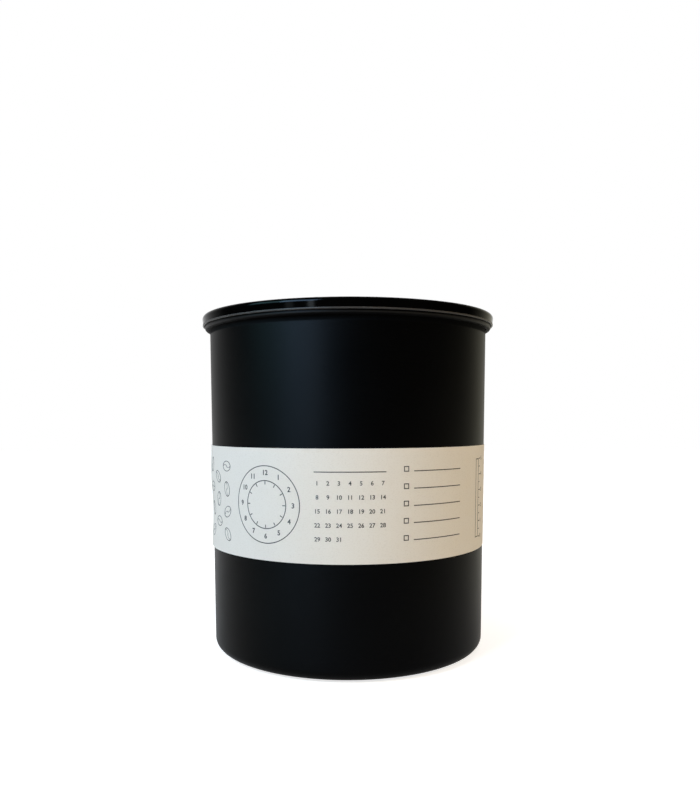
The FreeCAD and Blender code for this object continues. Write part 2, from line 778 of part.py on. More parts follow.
def make_valve_cover():
    """Vented dome with a spring seat and a guide socket inside, screw tabs and notches for the axle."""
    half = COVER_WALL / 2
    crown = math.radians(COVER_CROWN_ANGLE)
    side_radius = cover_radius - half
    crown_bend = (side_radius - COVER_SHOULDER * (1 - math.sin(crown))) / math.sin(crown)
    top_middle = spring_seat + COVER_CROWN_ROOM + half
    crown_drop = crown_bend * (1 - math.cos(crown)) + COVER_SHOULDER * math.cos(crown)
    moves = [
        (crown_bend, -COVER_CROWN_ANGLE),
        (COVER_SHOULDER, COVER_CROWN_ANGLE - 90),
        top_middle - crown_drop - dish_floor,
    ]
    dome = revolved(bent_sheet((0, top_middle), moves, COVER_WALL))
    socket_bore = GUIDE_PIN_DIAMETER / 2 + GUIDE_GAP
    seat = post(SPRING_DIAMETER / 2 + SPRING_LEDGE, spring_seat, top_middle)
    socket = post(socket_bore + COVER_SOCKET_WALL, spring_seat - socket_depth, top_middle)
    tab_bar = Part.makeBox(TAB_REACH + half, TAB_WIDTH, TAB_THICKNESS)
    tab_bar.translate(Vector(side_radius, -TAB_WIDTH / 2, tab_top - TAB_THICKNESS))
    tab = tab_bar.fuse(post(TAB_WIDTH / 2, tab_top - TAB_THICKNESS, tab_top, boss_circle_radius))
    tabs = [turned(tab, angle) for angle in around(TAB_COUNT, TAB_FIRST_ANGLE)]
    cover = joined(dome, seat, socket, *tabs)

    bore = post(socket_bore, spring_seat - socket_depth, spring_seat)
    notch_width = AXLE_DIAMETER + 2 * COVER_NOTCH_GAP
    notch = Part.makeBox(2 * cover_radius, notch_width, axle_height)
    notch.translate(Vector(-cover_radius, -notch_width / 2, dish_floor))
    notch_end = bar_along_x(notch_width / 2, -cover_radius, cover_radius)
    slot = Part.makeBox(VENT_LENGTH, VENT_WIDTH, COVER_SHOULDER + spring_seat - axle_z)
    slot.translate(Vector((VENT_CIRCLE - VENT_LENGTH) / 2, -VENT_WIDTH / 2, axle_z + HUB_DIAMETER / 2))
    slots = [turned(slot, angle) for angle in around(VENT_COUNT, 180 / VENT_COUNT)]
    screw_holes = [screw_hole(*place, tab_top) for place in boss_places()]
    return cover.cut([bore, notch, notch_end] + slots + screw_holes)


def make_screws(places, seat):
    """Group of separate screws on one level."""
    return Part.makeCompound([screw(x, y, seat) for x, y in places])


def main():
    """Write each piece to its own file."""
    hinge_cap = make_hinge_cap()
    axle_clip = make_axle_clip()
    pieces = {
        "can_shell": make_can_shell(),
        "base_pad": make_base_pad(),
        "label_sleeve": make_label_sleeve(),
        "top_lid": make_top_lid(),
        "inner_lid_dish": make_inner_lid_dish(),
        "lower_wiper_seal": make_wiper_seal(0),
        "upper_wiper_seal": make_wiper_seal(1),
        "right_hinge_cap": hinge_cap,
        "left_hinge_cap": mirrored(hinge_cap),
        "hinge_cap_screws": make_screws(cap_screw_places(), cap_seat),
        "handle_bow": make_handle_bow(),
        "bow_pins": make_bow_pins(),
        "handle_axle": make_handle_axle(),
        "right_axle_clip": axle_clip,
        "left_axle_clip": mirrored(axle_clip),
        "valve_cam": make_valve_cam(),
        "cam_pin": make_cam_pin(),
        "valve_poppet": make_valve_poppet(),
        "valve_disc": make_valve_disc(),
        "valve_spring": make_valve_spring(),
        "valve_cover": make_valve_cover(),
        "cover_screws": make_screws(boss_places(), tab_top),
    }
    os.makedirs("parts", exist_ok=True)
    for name, shape in pieces.items():
        shape.exportStep(os.path.join("parts", name + ".step"))
        print("%-18s solids %d, valid %s" % (name, len(shape.Solids), shape.isValid()))


main()
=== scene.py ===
"""Vacuum seal canister: fine meshes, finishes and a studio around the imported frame.

Pieces are shaped in millimetres and brought to metres when they are finished. Finishes, lamps and the camera
are in metres. The front of the canister faces -Y, and +Z is up.
"""

import logging
import math
from dataclasses import dataclass
from enum import Enum
from typing import Sequence

import bmesh
import bpy
from mathutils import Matrix, Vector


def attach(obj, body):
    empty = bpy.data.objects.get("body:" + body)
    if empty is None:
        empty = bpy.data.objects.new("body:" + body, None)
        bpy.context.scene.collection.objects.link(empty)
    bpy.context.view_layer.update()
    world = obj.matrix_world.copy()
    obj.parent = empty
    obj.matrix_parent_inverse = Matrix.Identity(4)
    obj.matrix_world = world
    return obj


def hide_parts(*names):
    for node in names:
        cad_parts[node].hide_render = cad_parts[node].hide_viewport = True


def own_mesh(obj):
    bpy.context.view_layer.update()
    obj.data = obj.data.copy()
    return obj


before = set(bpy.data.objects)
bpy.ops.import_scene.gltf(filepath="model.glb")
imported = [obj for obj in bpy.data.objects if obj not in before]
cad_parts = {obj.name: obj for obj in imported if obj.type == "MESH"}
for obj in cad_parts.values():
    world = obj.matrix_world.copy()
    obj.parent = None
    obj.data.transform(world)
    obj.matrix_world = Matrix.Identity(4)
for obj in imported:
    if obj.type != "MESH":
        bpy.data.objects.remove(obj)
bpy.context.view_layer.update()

Colour = tuple[float, float, float]
Point = tuple[float, float, float]
Span = tuple[float, float]
Socket = bpy.types.NodeSocket
Mesh = bmesh.types.BMesh
Vert = bmesh.types.BMVert
Edge = bmesh.types.BMEdge
Face = bmesh.types.BMFace
Material = bpy.types.Material

LOG = logging.getLogger("canister")
MM = 0.001
TAU = 2 * math.pi
AXIS_Z = Vector((0, 0, 1))
WHITE: Colour = (1.0, 1.0, 1.0)

# Fineness of the meshes, in millimetres and radians
WELD = 1e-4
LONGEST_STRETCH = 6.0
SHARP_ANGLE = math.radians(40)
ROUNDING_STEP = math.radians(11)
ROUNDING_SEGMENTS = 3
LARGEST_SETBACK = 0.49
COIL_STEPS = 48
WIRE_SIDES = 12

# Span that most of a cloudy pattern lies in, whole span of a share, and reach of light in soft plastic
CLOUD_SPAN: Span = (0.3, 0.7)
UNIT: Span = (0.0, 1.0)
SUBSURFACE_SCALE = 0.002


class Body(Enum):
    """Bodies of the frame that new pieces ride on."""

    CANISTER = "canister"
    CAP = "cap"
    INNER_LID = "inner_lid"
    VALVE = "valve"


class Slot(Enum):
    """Material slots of the record that belong to new pieces."""

    CAN_PAINT = "can_paint"
    PAD_RUBBER = "pad_rubber"
    SLEEVE_PAPER = "sleeve_paper"
    CLEAR_PLASTIC = "clear_plastic"
    SEAL_RUBBER = "seal_rubber"
    SPRING_STEEL = "spring_steel"


class Ray(Enum):
    """Kinds of rays that surroundings answer apart."""

    CAMERA = "Is Camera Ray"
    GLOSSY = "Is Glossy Ray"
    TRANSMISSION = "Is Transmission Ray"


class Curve(Enum):
    """Ways from one end of a span to the other."""

    STRAIGHT = "LINEAR"
    SOFT = "SMOOTHSTEP"


class Op(Enum):
    """Ways to combine two values."""

    TIMES = "MULTIPLY"
    LARGER = "MAXIMUM"


class Axis(Enum):
    """Axes that a finish may change along."""

    X = "X"
    Y = "Y"
    Z = "Z"


class Coords(Enum):
    """Coordinates that patterns follow: those of a piece, or the direction in the surroundings."""

    PIECE = "Object"
    DIRECTION = "Generated"


class LidZone(Enum):
    """Zones of the lid, by the number of their finish."""

    PANEL = 0
    SKIRT = 1
    LIP = 2


class Seen(Enum):
    """Which surfaces take a lamp's light."""

    MATT = "matt"
    GLOSS = "gloss"


@dataclass(frozen=True)
class Corner:
    """Corner of a turned section: distance from the axis, height and rounding radius."""

    r: float
    z: float
    rounding: float = 0.0


def ease(share: float) -> float:
    """Share held between 0 and 1, with a smooth way from one to the other."""
    held = min(max(share, 0.0), 1.0)
    return held * held * (3 - 2 * held)


def round_wire_corner(bm: Mesh, vert: Vert, radius: float) -> None:
    """Round one corner of a wire as far as its sides allow.

    Args:
        bm: Mesh that holds the wire.
        vert: Corner with two edges.
        radius: Radius of the rounding.
    """
    first, second = (edge.other_vert(vert).co - vert.co for edge in vert.link_edges)
    half_angle = first.angle(second) / 2
    setback = min(radius / math.tan(half_angle), LARGEST_SETBACK * min(first.length, second.length))
    bmesh.ops.bevel(
        bm,
        geom=[vert],
        offset=setback,
        offset_type="OFFSET",
        affect="VERTICES",
        segments=max(ROUNDING_SEGMENTS, round((math.pi - 2 * half_angle) / ROUNDING_STEP)),
        profile=0.5,
        material=-1,
    )


def split_long_edges(bm: Mesh) -> None:
    """Split each long straight edge into even stretches.

    Args:
        bm: Mesh whose edges are split.
    """
    for edge in bm.edges[:]:
        cuts = math.ceil(edge.calc_length() / LONGEST_STRETCH) - 1
        if cuts > 0:
            bmesh.ops.subdivide_edges(bm, edges=[edge], cuts=cuts)


def spin(
    bm: Mesh, geom: Sequence[Vert | Edge], angle: float, steps: int, rise: float = 0.0, merge: bool = False
) -> None:
    """Sweep points and edges about the upright axis, with a rise at each step or the ends merged."""
    sweep = {"axis": AXIS_Z, "cent": (0, 0, 0), "dvec": (0, 0, rise), "angle": angle, "steps": steps}
    bmesh.ops.spin(bm, geom=geom, use_merge=merge, **sweep)


def thicken(bm: Mesh, depth: float) -> None:
    """Raise a flat figure that lies across Z to a solid."""
    raised = bmesh.ops.extrude_face_region(bm, geom=bm.faces[:])["geom"]
    bmesh.ops.translate(bm, vec=(0, 0, depth), verts=[item for item in raised if isinstance(item, Vert)])


class Workpiece:
    """A mesh while it is shaped, in millimetres."""

    def __init__(self) -> None:
        """Start with nothing on the bench."""
        self.bm = bmesh.new()

    def take(self, other: Mesh) -> None:
        """Turn another mesh's faces outwards, add it to this one and free it.

        Args:
            other: Closed mesh that is used up.
        """
        bmesh.ops.recalc_face_normals(other, faces=other.faces[:])
        mesh = bpy.data.meshes.new("transfer")
        other.to_mesh(mesh)
        other.free()
        self.bm.from_mesh(mesh)
        bpy.data.meshes.remove(mesh)

    def turn(self, corners: Sequence[Corner], closed: bool = False, steps: int = 192) -> None:
        """Turn a section about the upright axis.

        Args:
            corners: Section in order. An open section starts and ends on the axis.
            closed: Whether the last corner joins the first.
            steps: Faces round the axis.
        """
        bm = bmesh.new()
        verts = [bm.verts.new((corner.r, 0, corner.z)) for corner in corners]
        pairs = list(zip(verts, verts[1:]))
        if closed:
            pairs.append((verts[-1], verts[0]))
        for pair in pairs:
            bm.edges.new(pair)
        for vert, corner in zip(verts, corners):
            if corner.rounding:
                round_wire_corner(bm, vert, corner.rounding)
        split_long_edges(bm)
        spin(bm, bm.verts[:] + bm.edges[:], TAU, steps, merge=True)
        bmesh.ops.remove_doubles(bm, verts=bm.verts[:], dist=WELD)
        self.take(bm)

    def wind(self, wire: float, coil: float, ends: Span, turns: int) -> None:
        """Wind a round wire into a coil about the upright axis.

        Args:
            wire: Diameter of the wire.
            coil: Radius of the wire's middle line.
            ends: Heights of the middle line's lower and upper end.
            turns: Number of turns.
        """
        bottom, top = ends
        steps = COIL_STEPS * turns
        bm = bmesh.new()
        upright = Matrix.Translation((coil, 0, bottom)) @ Matrix.Rotation(math.pi / 2, 4, "X")
        bmesh.ops.create_circle(bm, cap_ends=False, radius=wire / 2, segments=WIRE_SIDES, matrix=upright)
        spin(bm, bm.verts[:] + bm.edges[:], TAU * turns, steps, rise=(top - bottom) / steps)
        rims = [edge for edge in bm.edges if edge.is_boundary]
        bmesh.ops.holes_fill(bm, edges=rims, sides=WIRE_SIDES)
        self.take(bm)

    def finish(self, name: str, *materials: Material) -> bpy.types.Object:
        """Bring the mesh to metres and make it an object at the origin.

        Args:
            name: Name of the piece.
            *materials: Materials in the order of the faces' numbers.

        Returns:
            The finished object.
        """
        bmesh.ops.scale(self.bm, vec=(MM, MM, MM), verts=self.bm.verts[:])
        mesh = bpy.data.meshes.new(name)
        self.bm.to_mesh(mesh)
        self.bm.free()
        mesh.shade_smooth()
        mesh.set_sharp_from_angle(angle=SHARP_ANGLE)
        for material in materials:
            mesh.materials.append(material)
        piece = bpy.data.objects.new(name, mesh)
        bpy.context.scene.collection.objects.link(piece)
        return piece


def place(piece: bpy.types.Object, body: Body, slot: Slot, *nodes: str) -> None:
    """Let a piece ride on a body in place of the nodes that it stands for.

    Args:
        piece: Finished piece.
        body: Body that carries it.
        slot: Slot of the record for the piece; not used.
        *nodes: Frame nodes that it replaces.
    """
    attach(piece, body.value)
    if nodes:
        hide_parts(*nodes)
    LOG.info("%s: %d faces on %s", piece.name, len(piece.data.polygons), body.value)


def dress(material: Material, *nodes: str) -> None:
    """Give frame nodes a finish.

    Args:
        material: The finish.
        *nodes: Names of the nodes.
    """
    for node in nodes:
        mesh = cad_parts[node].data
        mesh.materials.clear()
        mesh.materials.append(material)
        LOG.info("%s: dressed in %s", node, material.name)


class Graph:
    """Builder of a node tree."""

    def __init__(self, tree: bpy.types.NodeTree, coords: Coords) -> None:
        """Take over the tree of a material or a world, with the coordinates that its patterns follow."""
        self.nodes, self.links = tree.nodes, tree.links
        self.coords = self.add("ShaderNodeTexCoord", {})[coords.value]

    def add(self, kind: str, inputs: dict[str | int, object], **settings: object) -> bpy.types.NodeOutputs:
        """Add a node.

        Args:
            kind: Type of the node.
            inputs: A socket or a constant for each input that is set.
            **settings: Properties of the node.

        Returns:
            Its outputs.
        """
        node = self.nodes.new(kind)
        for key, value in settings.items():
            setattr(node, key, value)
        for key, value in inputs.items():
            if isinstance(value, Socket):
                self.links.new(value, node.inputs[key])
            else:
                node.inputs[key].default_value = value
        return node.outputs

    def rays(self, kind: Ray) -> Socket:
        """Socket that is 1 for one kind of ray and 0 for others."""
        return self.add("ShaderNodeLightPath", {})[kind.value]

    def along(self, axis: Axis) -> Socket:
        """Coordinate along an axis."""
        return self.add("ShaderNodeSeparateXYZ", {"Vector": self.coords})[axis.value]

    def ramp(
        self, source: Socket, span: Span, result: Span = UNIT, curve: Curve = Curve.STRAIGHT
    ) -> Socket:
        """Value mapped from one span to another, held at its ends."""
        inputs = dict(zip(("Value", "From Min", "From Max", "To Min", "To Max"), (source, *span, *result)))
        return self.add("ShaderNodeMapRange", inputs, interpolation_type=curve.value)["Result"]

    def band(self, span: Span, fade: float) -> Socket:
        """Share that is 1 between two heights and fades out above and below them.

        Args:
            span: Lower and upper height.
            fade: Distance over which the share fades.

        Returns:
            Value socket.
        """
        low, high = span
        height = self.along(Axis.Z)
        rise = self.ramp(height, (low - fade, low))
        return self.join(Op.TIMES, rise, self.ramp(height, (high, high + fade), (1.0, 0.0)))

    def mix(self, share: Socket, first: Colour, second: Colour) -> Socket:
        """Blend of two colours by the share of the second."""
        inputs = {"Factor": share, "A": (*first, 1), "B": (*second, 1)}
        return self.add("ShaderNodeMix", inputs, data_type="RGBA")["Result"]

    def join(self, op: Op, first: Socket, second: Socket | float) -> Socket:
        """Two values combined by a math operation."""
        return self.add("ShaderNodeMath", {0: first, 1: second}, operation=op.value)["Value"]


class MaterialGraph(Graph):
    """Builder of one material on object coordinates."""

    def __init__(self, name: str) -> None:
        """Make the material with its principled shader.

        Args:
            name: Name of the material.
        """
        self.material = bpy.data.materials.new(name)
        self.material.use_nodes = True
        super().__init__(self.material.node_tree, Coords.PIECE)
        self.shader = self.nodes["Principled BSDF"]
        self.output = self.nodes["Material Output"]

    def set(self, **values: object) -> None:
        """Set constant shader inputs, named with underscores for spaces."""
        for key, value in values.items():
            self.shader.inputs[key.replace("_", " ")].default_value = value

    def feed(self, name: str, source: Socket) -> None:
        """Link a source to one of the shader's inputs."""
        self.links.new(source, self.shader.inputs[name])

    def bump(self, height: Socket, depth: float, strength: float) -> None:
        """Raise the surface by a pattern, to a depth in metres and with a strength."""
        inputs = {"Height": height, "Distance": depth, "Strength": strength}
        self.feed("Normal", self.add("ShaderNodeBump", inputs)["Normal"])


@dataclass(frozen=True)
class Pattern:
    """Pattern of a finish: patches to the metre, finer layers and stretch along each axis."""

    scale: float
    detail: float = 3.0
    stretch: Point = (1, 1, 1)
    is_cells: bool = False

    def draw(self, graph: MaterialGraph) -> Socket:
        """Draw clouds around one half, or irregular cells with a random value each.

        Args:
            graph: Graph of the finish.

        Returns:
            Value or colour socket.
        """
        coords = graph.add("ShaderNodeMapping", {"Vector": graph.coords, "Scale": self.stretch})["Vector"]
        inputs = {"Vector": coords, "Scale": self.scale}
        if self.is_cells:
            return graph.add("ShaderNodeTexVoronoi", inputs)["Color"]
        return graph.add("ShaderNodeTexNoise", inputs | {"Detail": self.detail})["Fac"]


@dataclass(frozen=True)
class Finish:
    """Finish of two colours whose blend and sheen follow a pattern, raised by that pattern or a finer one."""

    name: str
    colour: Colour
    second: Colour
    roughness: Span
    pattern: Pattern
    blend: Span = UNIT
    sheen: Span = CLOUD_SPAN
    relief: Pattern | None = None
    depth: float = 0.0
    strength: float = 0.0
    specular: float = 0.5
    metallic: float = 0.0
    subsurface: float = 0.0

    def material(self) -> Material:
        """Build the finish.

        Returns:
            The material.
        """
        graph = MaterialGraph(self.name)
        graph.set(Specular_IOR_Level=self.specular, Metallic=self.metallic)
        if self.subsurface:
            graph.set(Subsurface_Weight=self.subsurface, Subsurface_Scale=SUBSURFACE_SCALE)
        pattern = self.pattern.draw(graph)
        graph.feed("Base Color", graph.mix(graph.ramp(pattern, self.blend), self.colour, self.second))
        graph.feed("Roughness", graph.ramp(pattern, self.sheen, self.roughness))
        if self.depth:
            relief = self.relief.draw(graph) if self.relief else pattern
            graph.bump(relief, self.depth, self.strength)
        return graph.material


@dataclass(frozen=True)
class Moulded(Finish):
    """Moulded plastic or rubber with worn clouds and a spark-eroded grain."""

    pattern: Pattern = Pattern(45, 4)
    blend: Span = (0.4, 0.7)
    relief: Pattern = Pattern(1600, 2)
    depth: float = 0.00002
    strength: float = 0.5
    specular: float = 0.4


@dataclass(frozen=True)
class DrawnSteel(Finish):
    """Bright steel with fine lines along its length."""

    roughness: Span = (0.22, 0.38)
    pattern: Pattern = Pattern(2600, 3, (0.03, 1, 1))
    depth: float = 0.00002
    strength: float = 0.3
    metallic: float = 1.0


@dataclass(frozen=True)
class PowderCoat:
    """Matt powder coat on rolled steel, with a fine orange peel and paler, worn patches.

    The sheet was rolled round the can, so its sheen is drawn out upright. A thin band round the rim's bead
    carries a painted highlight, and the wall in the lee of the rim is dull.
    """

    colour: Colour = (0.0003, 0.0003, 0.0003)
    # Pale colour of the worn patches, and of the painted highlight on the rim's bead
    rubbed: Colour = (0.03, 0.03, 0.03)
    specular: float = 0.035
    drawn: float = 0.4
    drawn_turn: float = 0.25
    patches: Pattern = Pattern(22, 4)
    patch_blend: Span = (0.45, 0.7)
    patch_wear: float = 0.015
    roughness: Span = (0.41, 0.46)
    # Painted highlight on the rim's bead: its band of heights, its fade and its share of the pale colour
    rim_line: Span = (0.1957, 0.1961)
    rim_fade: float = 0.0004
    rim_wear: float = 0.42
    lee: Span = (0.1924, 0.1945)
    lee_fade: float = 0.0014
    lee_roughness: float = 0.85
    peel: Pattern = Pattern(900, 2)
    peel_depth: float = 0.00006
    peel_strength: float = 0.35

    def material(self) -> Material:
        """Build the finish.

        Returns:
            The material.
        """
        graph = MaterialGraph("powder_coat")
        graph.set(Specular_IOR_Level=self.specular)
        graph.set(Anisotropic=self.drawn, Anisotropic_Rotation=self.drawn_turn)
        rolled = graph.add("ShaderNodeTangent", {}, direction_type="RADIAL", axis="Z")
        graph.feed("Tangent", rolled["Tangent"])
        patches = self.patches.draw(graph)
        patch_wear = graph.ramp(patches, self.patch_blend, (0.0, self.patch_wear))
        # Painted highlight: a thin band of heights round the rim's bead is blended towards the pale colour
        rim_wear = graph.join(Op.TIMES, graph.band(self.rim_line, self.rim_fade), self.rim_wear)
        wear_and_highlight = graph.join(Op.LARGER, patch_wear, rim_wear)
        graph.feed("Base Color", graph.mix(wear_and_highlight, self.colour, self.rubbed))
        lee = graph.join(Op.TIMES, graph.band(self.lee, self.lee_fade), self.lee_roughness)
        open_wall = graph.ramp(patches, CLOUD_SPAN, self.roughness)
        graph.feed("Roughness", graph.join(Op.LARGER, open_wall, lee))
        graph.bump(self.peel.draw(graph), self.peel_depth, self.peel_strength)
        return graph.material


@dataclass(frozen=True)
class SmokedClear:
    """Polished clear plastic with a smoke tint that deepens with its thickness."""

    specular: float = 0.25
    ior: float = 1.49
    smudges: Pattern = Pattern(60, 4)
    smudge_span: Span = (0.4, 0.75)
    roughness: Span = (0.03, 0.1)
    tint: Colour = (0.5, 0.51, 0.52)
    density: float = 150.0

    def material(self) -> Material:
        """Build the finish.

        Returns:
            The material.
        """
        graph = MaterialGraph("polished_smoke")
        graph.set(Base_Color=(*WHITE, 1), Specular_IOR_Level=self.specular)
        graph.set(Transmission_Weight=1.0, IOR=self.ior)
        smudges = self.smudges.draw(graph)
        graph.feed("Roughness", graph.ramp(smudges, self.smudge_span, self.roughness))
        inputs = {"Color": (*self.tint, 1), "Density": self.density}
        smoke = graph.add("ShaderNodeVolumeAbsorption", inputs)["Volume"]
        graph.links.new(smoke, graph.output.inputs["Volume"])
        return graph.material


GALVANISED = Finish(
    "galvanised_steel", (0.5, 0.49, 0.47), (0.72, 0.7, 0.67), (0.42, 0.6), Pattern(170, is_cells=True),
    sheen=UNIT, relief=Pattern(500), depth=0.00003, strength=0.4, metallic=0.6,
)
PAPER = Finish(
    "cream_paper", (0.8, 0.765, 0.705), (0.72, 0.68, 0.615), (0.72, 0.86), Pattern(1100, 5, (1, 1, 2.2)),
    blend=(0.5, 0.8), depth=0.00005, strength=0.25, specular=0.25,
)
INK = Finish(
    "grey_ink", (0.03, 0.029, 0.028), (0.07, 0.067, 0.064), (0.55, 0.75), Pattern(1400),
    blend=(0.45, 0.65), specular=0.3,
)
DISH_PLASTIC = Moulded(
    "dish_plastic", (0.05, 0.052, 0.056), (0.06, 0.062, 0.066), (0.46, 0.58), depth=0.00004
)
HANDLE_PLASTIC = Moulded(
    "handle_plastic", (0.03, 0.031, 0.034), (0.038, 0.038, 0.041), (0.3, 0.4), relief=Pattern(900, 2)
)
VALVE_PLASTIC = Moulded(
    "valve_plastic", (0.72, 0.71, 0.67), (0.66, 0.65, 0.6), (0.35, 0.5),
    relief=Pattern(1200, 2), specular=0.5, subsurface=0.15,
)
SILICONE = Moulded(
    "grey_silicone", (0.3, 0.31, 0.32), (0.26, 0.265, 0.27), (0.5, 0.62),
    relief=Pattern(800, 2), subsurface=0.2,
)
SKIRT_SMOKE = Moulded(
    "skirt_smoke", (0.0008, 0.0008, 0.0008), (0.0014, 0.0014, 0.0014), (0.08, 0.14),
    relief=Pattern(300, 2), depth=0.00001, specular=0.03,
)
# Pale grey on the clear lid's lip is a painted highlight: the bright line along the lip's edge
LIP_HIGHLIGHT = Moulded(
    "lip_painted_highlight", (0.06, 0.058, 0.056), (0.05, 0.048, 0.047), (0.35, 0.45),
    relief=Pattern(900, 2), specular=0.08,
)
PAD_RUBBER = Moulded(
    "pad_rubber", (0.014, 0.014, 0.0145), (0.024, 0.024, 0.024), (0.7, 0.85),
    relief=Pattern(1100, 2), depth=0.00006,
)
AXLE_STEEL = DrawnSteel("axle_steel", (0.52, 0.52, 0.53), (0.66, 0.66, 0.66))
ZINC_STEEL = DrawnSteel("zinc_steel", (0.5, 0.51, 0.53), (0.62, 0.63, 0.65), (0.28, 0.42), Pattern(2600))
SPRING_WIRE = DrawnSteel(
    "spring_wire", (0.4, 0.4, 0.42), (0.56, 0.56, 0.57), (0.25, 0.4), Pattern(2600, 3, (1, 1, 0.2))
)


@dataclass
class SteelCan:
    """Painted can with its rolled rim and bare inside. Bends are those of the sheet's inner side."""

    wall: float = 84.3
    bore: float = 83.7
    base: float = 0.8
    floor: float = 3.0
    sheet: float = 0.6
    corner_bend: float = 6.4
    recess_top: float = 70.9
    recess_foot: float = 71.75
    recess_bend: float = 1.2
    rim_bottom: float = 194.7
    rim_top: float = 201.1
    rim_foot: float = 87.32
    rim_head: float = 87.19
    rim_edge_gap: float = 0.35
    rim_head_bend: float = 1.15
    rim_foot_bend: float = 2.05
    bare_drop: float = 2.0
    bare_margin: float = 0.05
    bare_tilt: float = 0.2
    steps: int = 256

    def section(self) -> list[Corner]:
        """Section of the sheet, up the inside, round the rim and back down the outside.

        Returns:
            Corners from the middle of the floor to the rolled edge and back.
        """
        sheet = self.sheet
        base_top, floor_underside = self.base + sheet, self.floor - sheet
        rim_edge = self.wall + self.rim_edge_gap
        hem_bottom, hem_top = self.rim_bottom + sheet, self.rim_top - sheet
        return [
            Corner(0, self.floor),
            Corner(self.recess_top, self.floor, self.recess_bend + sheet),
            Corner(self.recess_foot, base_top, self.recess_bend),
            Corner(self.bore, base_top, self.corner_bend),
            Corner(self.bore, self.rim_top, self.rim_head_bend + sheet),
            Corner(self.rim_head, self.rim_top, self.rim_head_bend + sheet),
            Corner(self.rim_foot, self.rim_bottom, self.rim_foot_bend + sheet),
            Corner(rim_edge, self.rim_bottom),
            Corner(rim_edge, hem_bottom),
            Corner(self.rim_foot - sheet, hem_bottom, self.rim_foot_bend),
            Corner(self.rim_head - sheet, hem_top, self.rim_head_bend),
            Corner(self.wall, hem_top, self.rim_head_bend),
            Corner(self.wall, self.base, self.corner_bend + sheet),
            Corner(self.recess_foot, self.base, self.recess_bend + sheet),
            Corner(self.recess_top, floor_underside, self.recess_bend),
            Corner(0, floor_underside),
        ]

    def is_inside(self, face: Face) -> bool:
        """Find whether a face of the can looks at the goods.

        Args:
            face: Face of the turned sheet.

        Returns:
            True for the bare inside.
        """
        middle, normal = face.calc_center_median(), face.normal
        spread = math.hypot(middle.x, middle.y)
        inwards = -(normal.x * middle.x + normal.y * middle.y) / max(spread, WELD)
        is_below_rim = middle.z < self.rim_top - self.bare_drop
        is_within = spread < self.bore + self.bare_margin
        return is_below_rim and is_within and max(inwards, normal.z) > self.bare_tilt

    def build(self) -> None:
        """Make the can."""
        can = Workpiece()
        can.turn(self.section(), steps=self.steps)
        for face in can.bm.faces:
            face.material_index = int(self.is_inside(face))
        piece = can.finish("steel_can", PowderCoat().material(), GALVANISED.material())
        place(piece, Body.CANISTER, Slot.CAN_PAINT, "can_shell")


@dataclass
class RubberPad:
    """Pad with ring grooves in the recess of the can's base."""

    radius: float = 69.7
    top: float = 2.4
    rib: float = 5.0
    rib_rounding: float = 0.3
    groove: float = 4.0
    groove_depth: float = 0.7
    groove_rounding: float = 0.25
    grooves: int = 5
    foot_rounding: float = 0.4
    top_rounding: float = 0.2
    steps: int = 160

    def section(self) -> list[Corner]:
        """Section along the underside from the axis, then back over the top.

        Returns:
            Corners in order.
        """
        corners = [Corner(0, 0)]
        for index in reversed(range(self.grooves)):
            outer = self.radius - self.rib - index * (self.rib + self.groove)
            inner = outer - self.groove
            corners += [
                Corner(inner, 0, self.rib_rounding),
                Corner(inner, self.groove_depth, self.groove_rounding),
                Corner(outer, self.groove_depth, self.groove_rounding),
                Corner(outer, 0, self.rib_rounding),
            ]
        return [
            *corners,
            Corner(self.radius, 0, self.foot_rounding),
            Corner(self.radius, self.top, self.top_rounding),
            Corner(0, self.top),
        ]

    def build(self) -> None:
        """Make the pad."""
        pad = Workpiece()
        pad.turn(self.section(), steps=self.steps)
        place(pad.finish("rubber_pad", PAD_RUBBER.material()), Body.CANISTER, Slot.PAD_RUBBER, "base_pad")


